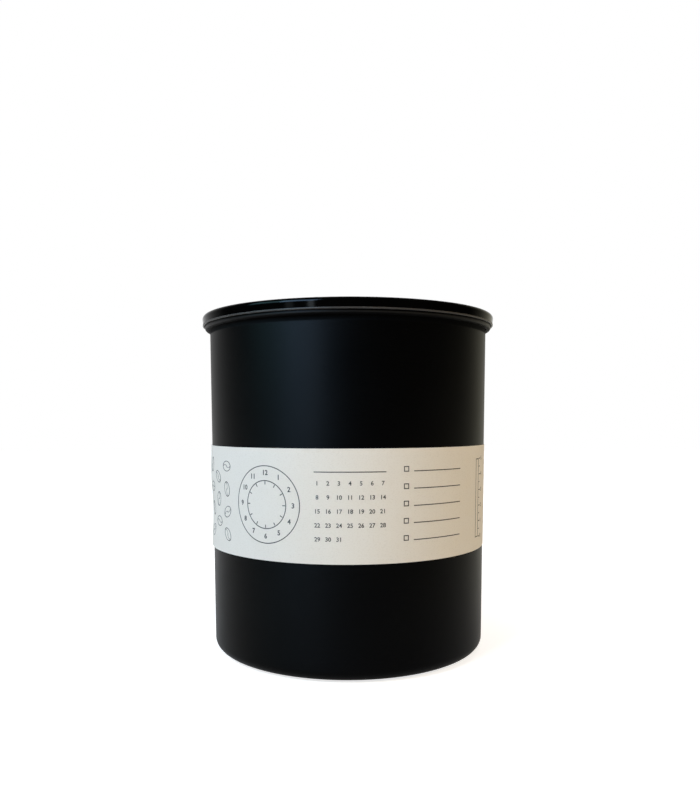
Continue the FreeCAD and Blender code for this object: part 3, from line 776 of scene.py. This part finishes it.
@dataclass
class ClearLid:
    """Smoked clear cap over the rim. The shoulder, skirt and lip are measured out from the bore."""

    bore: float = 87.55
    top: float = 203.2
    shoulder: float = 1.35
    shoulder_rounding: float = 2.2
    skirt: float = 0.8
    skirt_end: float = 197.0
    lip: float = 1.0
    lip_height: float = 0.85
    lip_rounding: float = 0.45
    edge_rounding: float = 0.15
    ceiling: float = 201.35
    ceiling_rounding: float = 0.3
    panel_top: float = 200.8
    panel_underside: float = 199.0
    panel_slope: float = 0.4
    panel_rounding: float = 0.8
    crown_rounding: float = 1.2
    plug: float = 83.3
    plug_bore: float = 81.7
    plug_end: float = 196.6
    plug_rounding: float = 0.75
    ring: Span = (69.9, 71.1)
    ring_depth: float = 0.5
    ring_rounding: float = 0.12
    gate: Span = (2.4, 2.6)
    gate_depth: float = 0.2
    gate_rounding: float = 0.1
    finish_start: float = 0.1
    steps: int = 256

    def section(self) -> list[Corner]:
        """Section from the middle of the top, out over the crown and back to the middle underneath.

        Returns:
            Corners in order.
        """
        gate_floor = self.panel_top - self.gate_depth
        gate_foot, gate_edge = self.gate
        ring_floor = self.panel_top - self.ring_depth
        ring_inner, ring_outer = self.ring
        lip, lip_top = self.bore + self.lip, self.skirt_end + self.lip_height
        return [
            Corner(0, gate_floor),
            Corner(gate_foot, gate_floor, self.gate_rounding),
            Corner(gate_edge, self.panel_top, self.gate_rounding),
            Corner(ring_inner, self.panel_top, self.ring_rounding),
            Corner(ring_inner, ring_floor, self.ring_rounding),
            Corner(ring_outer, ring_floor, self.ring_rounding),
            Corner(ring_outer, self.panel_top, self.ring_rounding),
            Corner(self.plug_bore - self.panel_slope, self.panel_top, self.panel_rounding),
            Corner(self.plug_bore, self.top, self.crown_rounding),
            Corner(self.bore + self.shoulder, self.top, self.shoulder_rounding),
            Corner(self.bore + self.skirt, lip_top, self.edge_rounding),
            Corner(lip, lip_top, self.lip_rounding),
            Corner(lip, self.skirt_end, self.lip_rounding),
            Corner(self.bore, self.skirt_end, self.edge_rounding),
            Corner(self.bore, self.ceiling, self.ceiling_rounding),
            Corner(self.plug, self.ceiling, self.ceiling_rounding),
            Corner(self.plug, self.plug_end, self.plug_rounding),
            Corner(self.plug_bore, self.plug_end, self.plug_rounding),
            Corner(self.plug_bore, self.panel_underside, self.panel_rounding),
            Corner(0, self.panel_underside),
        ]

    def zone(self, face: Face) -> LidZone:
        """Find the zone of the lid that a face lies in.

        Args:
            face: Face of the turned lid.

        Returns:
            The zone.
        """
        middle = face.calc_center_median()
        if math.hypot(middle.x, middle.y) <= self.bore + self.finish_start:
            return LidZone.PANEL
        return LidZone.LIP if middle.z < self.skirt_end + self.lip_height else LidZone.SKIRT

    def build(self) -> None:
        """Make the lid: clear inside its bore, dark round its skirt and a painted highlight on its lip."""
        lid = Workpiece()
        lid.turn(self.section(), steps=self.steps)
        for face in lid.bm.faces:
            face.material_index = self.zone(face).value
        finishes = (SmokedClear(), SKIRT_SMOKE, LIP_HIGHLIGHT)
        piece = lid.finish("clear_lid", *(finish.material() for finish in finishes))
        place(piece, Body.CAP, Slot.CLEAR_PLASTIC, "top_lid")


@dataclass
class Press:
    """Press that lays figures of ink on the flat paper.

    Places are given across, to the right of the front, and up, above the paper's lower edge. The base is the
    height of the ink's underside over the paper's inner face, and the middle is half the paper's height.
    """

    base: float
    middle: float
    line: float = 0.5
    film: float = 0.08
    longest: float = 1.5
    gap: float = 0.02
    arc_steps: int = 8
    type_steps: int = 3

    def __post_init__(self) -> None:
        """Start with no ink."""
        self.ink = Workpiece()

    def lay(self, flat: Mesh, across: float, up: float, turn: float = 0.0) -> None:
        """Give a flat figure its film of ink and lay it on the paper.

        Args:
            flat: Figure about the origin, which is used up.
            across, up: Place of its middle.
            turn: Turn of the figure in radians.
        """
        seat = Matrix.Translation((across, up, self.base)) @ Matrix.Rotation(turn, 4, "Z")
        bmesh.ops.transform(flat, matrix=seat, verts=flat.verts[:])
        thicken(flat, self.film)
        self.ink.take(flat)

    def bar(self, across: float, up: float, width: float, height: float, turn: float = 0.0) -> None:
        """Print a filled bar about its middle.

        Args:
            across, up: Place of its middle.
            width, height: Its size.
            turn: Its turn.
        """
        flat = bmesh.new()
        steps = max(1, math.ceil(width / self.longest))
        size = Matrix.Diagonal((width, height, 1, 1))
        bmesh.ops.create_grid(flat, x_segments=steps, y_segments=1, size=0.5, matrix=size)
        self.lay(flat, across, up, turn)

    def frame(self, across: float, up: float, width: float, height: float) -> None:
        """Print the outline of a box about its middle, with a hair of paper between its lines.

        Args:
            across, up: Place of its middle.
            width, height: Its outer size.
        """
        upright = height - 2 * (self.line + self.gap)
        for side in (-1, 1):
            self.bar(across, up + side * (height - self.line) / 2, width, self.line)
            self.bar(across + side * (width - self.line) / 2, up, self.line, upright)

    def arc(
        self,
        across: float,
        up: float,
        radius: float,
        start: float = 0.0,
        sweep: float = TAU,
        squeeze: float = 1.0,
        turn: float = 0.0,
    ) -> None:
        """Print a line along a circle, an ellipse or a stretch of one.

        Args:
            across, up: Place of its middle.
            radius: Radius of the line's middle.
            start: Angle of the first end.
            sweep: Angle that the line runs through.
            squeeze: Height of the ellipse as a share of its width.
            turn: Turn of the figure.
        """
        flat = bmesh.new()
        ends = [flat.verts.new((radius + side * self.line / 2, 0, 0)) for side in (-1, 1)]
        edge = flat.edges.new(ends)
        bmesh.ops.rotate(flat, cent=(0, 0, 0), matrix=Matrix.Rotation(start, 3, "Z"), verts=ends)
        steps = max(self.arc_steps, math.ceil(radius * sweep / self.longest))
        spin(flat, [*ends, edge], sweep, steps, merge=sweep == TAU)
        bmesh.ops.scale(flat, vec=(1, squeeze, 1), verts=flat.verts[:])
        self.lay(flat, across, up, turn)

    def number(self, value: int, across: float, up: float, size: float, bold: float) -> None:
        """Print a number about its middle.

        Args:
            value: The number.
            across, up: Place of its middle.
            size: Height of a line of type.
            bold: Growth of each stroke to either side.
        """
        curve = bpy.data.curves.new("number", "FONT")
        curve.body = str(value)
        curve.size = size
        curve.align_x, curve.align_y = "CENTER", "CENTER"
        curve.resolution_u = self.type_steps
        curve.offset = bold
        holder = bpy.data.objects.new("number", curve)
        mesh = bpy.data.meshes.new_from_object(holder)
        flat = bmesh.new()
        flat.from_mesh(mesh)
        bmesh.ops.remove_doubles(flat, verts=flat.verts[:], dist=WELD)
        bpy.data.objects.remove(holder)
        bpy.data.curves.remove(curve)
        bpy.data.meshes.remove(mesh)
        self.lay(flat, across, up)


@dataclass(frozen=True)
class Figure:
    """Printed figure about a place across the paper."""

    across: float

    def draw(self, press: Press) -> None:
        """Print the figure."""
        raise NotImplementedError


@dataclass(frozen=True)
class Dial(Figure):
    """Dial of the twelve months. Its rings and ticks are shares of its radius."""

    radius: float = 21.0
    inner_ring: float = 0.62
    number_ring: float = 0.82
    tick_ring: float = 0.56
    tick: float = 0.08
    months: int = 12
    size: float = 3.8
    bold: float = 0.09

    def draw(self, press: Press) -> None:
        """Print two rings with the numbers between them and the ticks inside.

        Args:
            press: Press that prints it.
        """
        press.arc(self.across, press.middle, self.radius)
        press.arc(self.across, press.middle, self.radius * self.inner_ring)
        for month in range(1, self.months + 1):
            angle = TAU / 4 - month * TAU / self.months
            right, rise = self.radius * math.cos(angle), self.radius * math.sin(angle)
            across, up = self.across + self.number_ring * right, press.middle + self.number_ring * rise
            press.number(month, across, up, self.size, self.bold)
            across, up = self.across + self.tick_ring * right, press.middle + self.tick_ring * rise
            press.bar(across, up, self.tick * self.radius, press.line, angle)


@dataclass(frozen=True)
class DayGrid(Figure):
    """Days of a month in rows of seven under a rule."""

    days: int = 31
    week: int = 7
    weeks: int = 5
    column: float = 5.8
    row: float = 7.4
    drop: float = 2.5
    rule_rise: float = 3.5
    rule_columns: float = 6.6
    size: float = 3.2
    bold: float = 0.06

    def draw(self, press: Press) -> None:
        """Print the numbers and the rule.

        Args:
            press: Press that prints it.
        """
        rows_up = self.weeks // 2
        for day in range(self.days):
            rows_down, place_in_row = divmod(day, self.week)
            across = self.across + (place_in_row - self.week // 2) * self.column
            height = press.middle + (rows_up - rows_down) * self.row - self.drop
            press.number(day + 1, across, height, self.size, self.bold)
        rule_height = press.middle + rows_up * self.row + self.rule_rise
        press.bar(self.across, rule_height, self.rule_columns * self.column, press.line)


@dataclass(frozen=True)
class RuledLines(Figure):
    """Lines to write on, each with a box to tick."""

    width: float = 34.0
    rows: int = 5
    pitch: float = 9.2
    box: float = 3.0
    box_left: float = 4.5
    box_rise: float = 1.2

    def draw(self, press: Press) -> None:
        """Print the boxes and the lines.

        Args:
            press: Press that prints it.
        """
        box_across = self.across - self.width / 2 - self.box_left
        for row in range(self.rows):
            height = press.middle + (row - (self.rows - 1) / 2) * self.pitch
            press.frame(box_across, height + self.box_rise, self.box, self.box)
            press.bar(self.across, height, self.width, press.line)


@dataclass(frozen=True)
class FillScale(Figure):
    """Upright scale, numbered beside its ticks."""

    width: float = 4.6
    height: float = 46.0
    half_steps: int = 10
    tick_start: float = 3.2
    whole_tick: float = 2.6
    half_tick: float = 1.5
    number_right: float = 8.0
    size: float = 3.2
    bold: float = 0.06

    def draw(self, press: Press) -> None:
        """Print the column, its ticks and its numbers.

        Args:
            press: Press that prints it.
        """
        press.frame(self.across, press.middle, self.width, self.height)
        for step in range(self.half_steps + 1):
            level = press.middle - self.height / 2 + step * self.height / self.half_steps
            whole, is_half = divmod(step, 2)
            length = self.half_tick if is_half else self.whole_tick
            press.bar(self.across + self.tick_start + length / 2, level, length, press.line)
            if not is_half:
                press.number(whole, self.across + self.number_right, level, self.size, self.bold)


@dataclass(frozen=True)
class Beans(Figure):
    """Loose handful of coffee beans in staggered columns."""

    columns: int = 3
    rows: int = 4
    column: float = 12.0
    row: float = 13.0
    first_turn: float = 0.7
    column_turn: float = 2.4
    row_turn: float = 1.3
    bean: float = 4.2
    squeeze: float = 0.68
    crease: float = 1.8
    crease_squeeze: float = 0.42

    def draw(self, press: Press) -> None:
        """Print the beans, one fewer in each second column.

        Args:
            press: Press that prints it.
        """
        for column in range(self.columns):
            across = self.across + (column - self.columns // 2) * self.column
            rows = self.rows - column % 2
            for row in range(rows):
                turn = self.first_turn + self.column_turn * column + self.row_turn * row
                self.draw_bean(press, across, press.middle + (row - (rows - 1) / 2) * self.row, turn)

    def draw_bean(self, press: Press, across: float, up: float, turn: float) -> None:
        """Print one bean with its crease, two bows with a hair of paper between them.

        Args:
            press: Press that prints it.
            across, up: Place of its middle.
            turn: Turn of the bean.
        """
        press.arc(across, up, self.bean, squeeze=self.squeeze, turn=turn)
        apart = 2 * press.gap
        for side, start in ((-1, 0.0), (1, math.pi)):
            bow_across = across + side * self.crease * math.cos(turn)
            bow_up = up + side * self.crease * math.sin(turn)
            sweep = math.pi - apart
            press.arc(bow_across, bow_up, self.crease, start + apart, sweep, self.crease_squeeze, turn)


@dataclass
class PaperSleeve:
    """Printed paper sleeve, lapped at the back, with places across and up as on the press."""

    radius: float = 84.36
    bottom: float = 65.2
    height: float = 61.0
    paper: float = 0.17
    lap: float = 14.0
    lap_gap: float = 0.03
    slack: float = 0.85
    slack_across: float = -118.0
    slack_reach: float = 60.0
    waves: float = 1.3
    wave_crest: float = 0.74
    columns: int = 300
    rows: int = 24
    ink_sunk: float = 0.04
    figures: tuple[Figure, ...] = (
        Beans(-92),
        Dial(-47),
        DayGrid(1),
        RuledLines(53),
        FillScale(92),
        RuledLines(140),
        Beans(190),
        FillScale(-140),
        Dial(-188),
    )

    def looseness(self, across: float, up: float) -> float:
        """Find how far the paper stands off the can, in soft waves on its slack side.

        Args:
            across, up: Place on the flat paper.

        Returns:
            The distance.
        """
        near = ease(1 - abs(across - self.slack_across) / self.slack_reach)
        wave = (1 + math.cos(self.waves * TAU * (up / self.height - self.wave_crest))) / 2
        return self.slack * near * wave

    def wrapped(self, across: float, up: float, out: float) -> Vector:
        """Bring a point of the flat paper onto the can.

        Args:
            across, up: Place on the flat paper.
            out: Height above the paper's inner face.

        Returns:
            The point on the can.
        """
        lap_start = math.pi * self.radius - self.lap
        lift = ease((across - lap_start) / (self.lap / 2)) * (self.paper + self.lap_gap)
        distance = self.radius + out + lift + self.looseness(across, up)
        angle = across / self.radius
        return Vector((distance * math.sin(angle), -distance * math.cos(angle), self.bottom + up))

    def wrap(self, piece: Workpiece) -> None:
        """Bring every point of a piece on the flat paper onto the can."""
        for vert in piece.bm.verts:
            vert.co = self.wrapped(*vert.co)

    def build(self) -> None:
        """Make the sleeve and its print."""
        half = math.pi * self.radius + self.lap / 2
        middle = self.height / 2
        flat = bmesh.new()
        size = Matrix.Translation((0, middle, 0)) @ Matrix.Diagonal((half, middle, 1, 1))
        bmesh.ops.create_grid(flat, x_segments=self.columns, y_segments=self.rows, size=1, matrix=size)
        thicken(flat, self.paper)
        sheet = Workpiece()
        sheet.take(flat)
        self.wrap(sheet)
        piece = sheet.finish("paper_sleeve", PAPER.material())
        place(piece, Body.CANISTER, Slot.SLEEVE_PAPER, "label_sleeve")
        press = Press(self.paper - self.ink_sunk, middle)
        for figure in self.figures:
            figure.draw(press)
        self.wrap(press.ink)
        place(press.ink.finish("sleeve_print", INK.material()), Body.CANISTER, Slot.SLEEVE_PAPER)


@dataclass
class InnerLid:
    """Sliding inner lid: moulded dish, wiper seals, bearing caps, dome and screws."""

    dish: float = 80.5
    seals: tuple[tuple[str, float], ...] = (("lower_wiper_seal", 124.3), ("upper_wiper_seal", 132.3))
    seal_height: float = 6.0
    seal_body: float = 1.5
    seal_tip: float = 83.5
    lip: float = 1.1
    lip_rise: float = 1.6
    rounding: float = 0.55
    tip_rounding: float = 0.495
    plastic_nodes: tuple[str, ...] = ("inner_lid_dish", "valve_cover", "left_hinge_cap", "right_hinge_cap")
    zinc_nodes: tuple[str, ...] = ("hinge_cap_screws", "cover_screws")

    def seal_section(self, low: float) -> list[Corner]:
        """Section of a wiper seal with its raised lip.

        Args:
            low: Height of the channel's floor.

        Returns:
            Corners in order.
        """
        high = low + self.seal_height
        middle = (low + high) / 2
        tip_top = middle + self.lip_rise
        body = self.dish + self.seal_body
        return [
            Corner(self.dish, low),
            Corner(body, low, self.rounding),
            Corner(body, middle - self.lip, self.rounding),
            Corner(self.seal_tip, tip_top - self.lip, self.tip_rounding),
            Corner(self.seal_tip, tip_top, self.tip_rounding),
            Corner(body, middle + self.lip, self.rounding),
            Corner(body, high, self.rounding),
            Corner(self.dish, high),
        ]

    def build(self) -> None:
        """Make the seals and dress the moulded and turned nodes."""
        silicone = SILICONE.material()
        for name, low in self.seals:
            seal = Workpiece()
            seal.turn(self.seal_section(low), closed=True)
            place(seal.finish(f"{name}_ring", silicone), Body.INNER_LID, Slot.SEAL_RUBBER, name)
        dress(DISH_PLASTIC.material(), *self.plastic_nodes)
        dress(ZINC_STEEL.material(), *self.zinc_nodes)


@dataclass
class FoldingHandle:
    """Bow on its cross axle."""

    steel_nodes: tuple[str, ...] = ("handle_axle", "bow_pins", "left_axle_clip", "right_axle_clip", "cam_pin")

    def build(self) -> None:
        """Dress the bow, the axle and what holds them."""
        dress(HANDLE_PLASTIC.material(), "handle_bow")
        dress(AXLE_STEEL.material(), *self.steel_nodes)


@dataclass
class AirValve:
    """Poppet with its washer, cam and spring."""

    disc: float = 15.5
    disc_rounding: float = 0.35
    disc_bottom: float = 125.8
    disc_top: float = 127.8
    disc_steps: int = 96
    pin: float = 2.5
    pin_rounding: float = 0.2
    wire: float = 0.9
    coil: float = 6.2
    spring_bottom: float = 145.15
    spring_top: float = 154.35
    seat_gap: float = 0.05
    turns: int = 5
    lift: float = 3.1

    def build(self) -> None:
        """Dress the poppet and the cam, and make the washer and the spring."""
        dress(VALVE_PLASTIC.material(), "valve_poppet", "valve_cam")
        self.build_washer()
        self.build_spring()

    def build_washer(self) -> None:
        """Make the washer that seals under the poppet."""
        section = [
            Corner(self.pin, self.disc_bottom, self.pin_rounding),
            Corner(self.disc, self.disc_bottom, self.disc_rounding),
            Corner(self.disc, self.disc_top, self.disc_rounding),
            Corner(self.pin, self.disc_top, self.pin_rounding),
        ]
        washer = Workpiece()
        washer.turn(section, closed=True, steps=self.disc_steps)
        place(washer.finish("valve_washer", SILICONE.material()), Body.VALVE, Slot.SEAL_RUBBER, "valve_disc")

    def build_spring(self) -> None:
        """Make the spring, which the rising valve squeezes against its upper end."""
        margin = self.wire / 2 + self.seat_gap
        ends = (self.spring_bottom + margin, self.spring_top - margin)
        spring = Workpiece()
        spring.wind(self.wire, self.coil, ends, self.turns)
        piece = spring.finish("wound_spring", SPRING_WIRE.material())
        place(piece, Body.INNER_LID, Slot.SPRING_STEEL, "valve_spring")
        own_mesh(piece)


@dataclass(frozen=True)
class Lamp:
    """Soft area lamp that looks at a point."""

    name: str
    place: Point
    target: Point
    size: Span
    power: float
    colour: Colour
    seen: Seen

    def build(self) -> None:
        """Hang the lamp."""
        data = bpy.data.lights.new(self.name, "AREA")
        data.shape = "RECTANGLE"
        data.size, data.size_y = self.size
        data.energy = self.power
        data.color = self.colour
        lamp = bpy.data.objects.new(self.name, data)
        lamp.location = self.place
        lamp.visible_glossy = self.seen is Seen.GLOSS
        lamp.visible_diffuse = self.seen is Seen.MATT
        lamp.visible_transmission = False
        way = Vector(self.target) - Vector(self.place)
        lamp.rotation_euler = way.to_track_quat("-Z", "Y").to_euler()
        bpy.context.scene.collection.objects.link(lamp)


@dataclass
class Studio:
    """Pale floor, white surroundings, soft lamps and the camera of the photograph."""

    floor_size: float = 3.0
    floor_gap: float = 0.0001
    floor_colour: Colour = (0.68, 0.68, 0.68)
    floor_roughness: float = 0.9
    glow_span: Span = (0.1, 0.35)
    near_white: float = 0.74
    near_glow: float = 0.55
    table_edge: Span = (-0.6, -0.3)
    ambient: float = 0.14
    dim_room: float = 0.03
    back_span: Span = (0.2, 0.85)
    ceiling: float = 0.2
    ceiling_span: Span = (0.55, 0.95)
    warm_tint: Colour = (1.0, 0.95, 0.72)
    warm_floor: Span = (0.1, 0.4)
    warm_span: Span = (0.2, 0.7)
    camera_place: Point = (0.0, -0.46866, 0.14049)
    pitch_down: float = 5.47
    roll: float = -0.13
    lens: float = 33.348
    sensor: float = 36.0
    shift: Span = (0.0023, 0.1149)
    nearest: float = 0.01
    lamps: tuple[Lamp, ...] = (
        Lamp("window", (-0.95, -0.85, 1.1), (0, 0, 0.11), (0.8, 0.6), 20.5, (0.74, 0.87, 1.0), Seen.MATT),
        Lamp("blue_sky", (-0.87, -1.12, 0.92), (0, 0, 0.11), (0.75, 0.8), 77.0, (0.4, 0.65, 1.0), Seen.GLOSS),
        Lamp("side_sky", (-1.26, -0.62, 0.92), (0, 0, 0.11), (0.8, 0.8), 24.0, (0.4, 0.88, 1.0), Seen.GLOSS),
        Lamp("pane", (-0.586, -1.2, 0.4), (0, 0, 0.2), (0.1, 0.7), 3.0, (0.8, 0.92, 1.0), Seen.GLOSS),
        Lamp("side_pane", (-0.892, -0.988, 0.4), (0, 0, 0.2), (0.14, 0.7), 1.1, (0.8, 0.92, 1.0), Seen.GLOSS),
        Lamp("room", (1.05, -0.85, 0.95), (0, 0, 0.1), (0.6, 0.6), 9.2, (1.0, 0.73, 0.38), Seen.MATT),
        Lamp("sky", (0.0, 0.2, 1.6), (0, 0, 0.1), (1.2, 1.2), 6.5, (1.0, 0.98, 0.94), Seen.MATT),
    )

    def build(self) -> None:
        """Set up the floor, the world, the lamps and the camera."""
        self.build_floor()
        self.build_world()
        for lamp in self.lamps:
            lamp.build()
        self.build_camera()
        bpy.context.scene.view_settings.view_transform = "Standard"

    def floor_material(self) -> Material:
        """Build the floor's finish, white to the eye and still under a hint of shadow.

        In reflections the floor is dimmer near the canister, dark beyond the table's front edge and warm
        on the right.

        Returns:
            The material.
        """
        graph = MaterialGraph("pale_floor")
        graph.set(Base_Color=(*self.floor_colour, 1), Roughness=self.floor_roughness, Specular_IOR_Level=0.0)
        reach = graph.add("ShaderNodeVectorMath", {0: graph.coords}, operation="LENGTH")["Value"]
        glossy = graph.rays(Ray.GLOSSY)
        white = graph.ramp(reach, self.glow_span, (self.near_white, 1.0))
        seen = graph.join(Op.LARGER, graph.rays(Ray.CAMERA), graph.rays(Ray.TRANSMISSION))
        shown = graph.join(Op.TIMES, white, seen)
        glow = graph.ramp(reach, self.glow_span, (self.near_glow, 1.0))
        table = graph.ramp(graph.along(Axis.Y), self.table_edge, (self.dim_room, 1.0))
        mirrored = graph.join(Op.TIMES, graph.join(Op.TIMES, glow, table), glossy)
        graph.feed("Emission Strength", graph.join(Op.LARGER, shown, mirrored))
        warmth = graph.join(Op.TIMES, graph.ramp(graph.along(Axis.X), self.warm_floor), glossy)
        graph.feed("Emission Color", graph.mix(warmth, WHITE, self.warm_tint))
        return graph.material

    def build_floor(self) -> None:
        """Lay the pale floor a hair below the pad."""
        bm = bmesh.new()
        seat = Matrix.Translation((0, 0, -self.floor_gap))
        bmesh.ops.create_grid(bm, x_segments=1, y_segments=1, size=self.floor_size, matrix=seat)
        mesh = bpy.data.meshes.new("floor")
        bm.to_mesh(mesh)
        bm.free()
        mesh.materials.append(self.floor_material())
        floor = bpy.data.objects.new("floor", mesh)
        bpy.context.scene.collection.objects.link(floor)

    def build_world(self) -> None:
        """Surround the scene with white for what is seen, and with soft light for the rest.

        Behind the object the surroundings are white to reflections too, and warm on the right. In front lies
        a dim room under a paler ceiling.
        """
        world = bpy.data.worlds.new("studio")
        bpy.context.scene.world = world
        world.use_nodes = True
        graph = Graph(world.node_tree, Coords.DIRECTION)
        background = graph.nodes["Background"].inputs
        glossy = graph.rays(Ray.GLOSSY)
        right = graph.ramp(graph.along(Axis.X), self.warm_span, curve=Curve.SOFT)
        warmth = graph.join(Op.TIMES, right, glossy)
        graph.links.new(graph.mix(warmth, WHITE, self.warm_tint), background["Color"])
        seen = graph.join(Op.LARGER, graph.rays(Ray.CAMERA), graph.rays(Ray.TRANSMISSION))
        direct = graph.ramp(seen, UNIT, (self.ambient, 1.0))
        behind = graph.ramp(graph.along(Axis.Y), self.back_span, (self.dim_room, 1.0), curve=Curve.SOFT)
        overhead = (self.dim_room, self.ceiling)
        above = graph.ramp(graph.along(Axis.Z), self.ceiling_span, overhead, curve=Curve.SOFT)
        mirrored = graph.join(Op.LARGER, behind, above)
        strength = graph.add("ShaderNodeMix", {"Factor": glossy, "A": direct, "B": mirrored})["Result"]
        graph.links.new(strength, background["Strength"])

    def build_camera(self) -> None:
        """Stand the camera where the photograph was taken."""
        data = bpy.data.cameras.new("camera")
        data.lens = self.lens
        data.sensor_width = self.sensor
        data.shift_x, data.shift_y = self.shift
        data.clip_start = self.nearest
        camera = bpy.data.objects.new("camera", data)
        camera.location = self.camera_place
        level = Matrix.Rotation(math.radians(90 - self.pitch_down), 3, "X")
        camera.rotation_euler = (level @ Matrix.Rotation(math.radians(self.roll), 3, "Z")).to_euler()
        bpy.context.scene.collection.objects.link(camera)
        bpy.context.scene.camera = camera


def main() -> None:
    """Build the canister and the studio."""
    logging.basicConfig(level=logging.INFO, format="%(name)s %(message)s")
    pieces = (SteelCan(), RubberPad(), PaperSleeve(), ClearLid(), InnerLid(), FoldingHandle(), AirValve())
    for part in (*pieces, Studio()):
        part.build()
        LOG.info("%s built", type(part).__name__)


if __name__ == "__main__":
    main()
